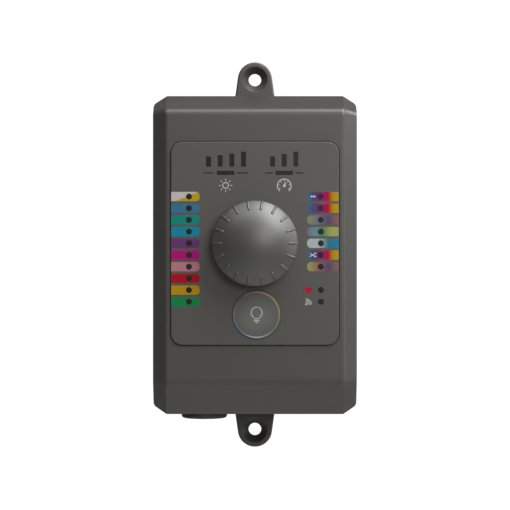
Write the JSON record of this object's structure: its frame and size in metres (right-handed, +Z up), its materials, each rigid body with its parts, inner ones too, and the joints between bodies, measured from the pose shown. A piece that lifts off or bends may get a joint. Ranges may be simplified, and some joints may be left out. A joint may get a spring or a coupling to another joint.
{
  "type": "wall-mount colour light controller",
  "caption": "Wall-mount controller box for coloured lights: turn-and-press knob, indicator lights, level bars, mounting ears and a rubber cable entry.",
  "frame": {"origin": "centre of the flat rear face, which lies on the wall", "axes": "-Y out of the wall towards the user, +Z up, +X to the user's right"},
  "size_m": [0.0904, 0.0523, 0.175],
  "materials": {
    "case_plastic": "fine matt texture",
    "panel_plastic": "smooth satin",
    "knob_plastic": "satin",
    "smoked_polycarbonate": "smoked, polished",
    "badge_plastic": "printed satin",
    "black_rubber": "matt",
    "steel": "plated",
    "brass": "turned",
    "aluminium": "extruded",
    "black_plastic": "moulded",
    "board_laminate": "solder mask",
    "terminal_plastic": "moulded",
    "ferrite": "coated",
    "fuse_glass": "clear",
    "led_white": "moulded"
  },
  "bodies": {
    "case": {"front_cover": "case_plastic", "rear_base": "case_plastic", "cover_seal": "black_rubber", "cover_screws": "steel", "control_panel": "panel_plastic", "round_badge": "badge_plastic", "colour_indicators": "smoked_polycarbonate", "program_indicators": "smoked_polycarbonate", "status_indicators": "smoked_polycarbonate", "brightness_bars": "smoked_polycarbonate", "speed_bars": "smoked_polycarbonate", "mode_bars": "smoked_polycarbonate", "encoder_housing": "black_plastic", "encoder_bushing": "brass", "encoder_gasket": "black_rubber", "encoder_washer": "steel", "encoder_nut": "steel", "control_board": "board_laminate", "microcontroller": "black_plastic", "wireless_module": "steel", "board_socket": "black_plastic", "board_header": "black_plastic", "power_board": "board_laminate", "terminal_block": "terminal_plastic", "fuse": "fuse_glass", "power_inductor": "ferrite", "heat_sink": "aluminium", "cable_grommet": "black_rubber", "cable_clamp": "black_plastic", "indicator_leds": "led_white", "control_board_screws": "steel", "power_board_screws": "steel", "terminal_screws": "steel", "fuse_clips": "brass", "filter_capacitors": "aluminium", "output_transistors": "black_plastic", "clamp_screws": "steel"},
    "turning_rotor": {"encoder_rotor": "black_plastic"},
    "pressed_knob": {"knob": "knob_plastic", "knob_bush": "brass", "encoder_shaft": "steel"},
    "switch_plunger": {"push_plunger": "black_plastic"}
  },
  "joints": [
    {"name": "knob_turn", "type": "hinge", "parent": "case", "child": "turning_rotor", "pos_m": [0, -0.04, 0.0049], "axis": [0, -1, 0], "continuous": true},
    {"name": "knob_press", "type": "slide", "parent": "turning_rotor", "child": "pressed_knob", "axis": [0, 1, 0], "range_m": [0, 0.0005], "stiffness_N_per_m": 3000},
    {"name": "plunger_press", "type": "slide", "parent": "case", "child": "switch_plunger", "axis": [0, 1, 0], "range_m": [0, 0.0005]}
  ],
  "couplings": [
    {"joint": "plunger_press", "follows": "knob_press", "ratio": 1}
  ]
}
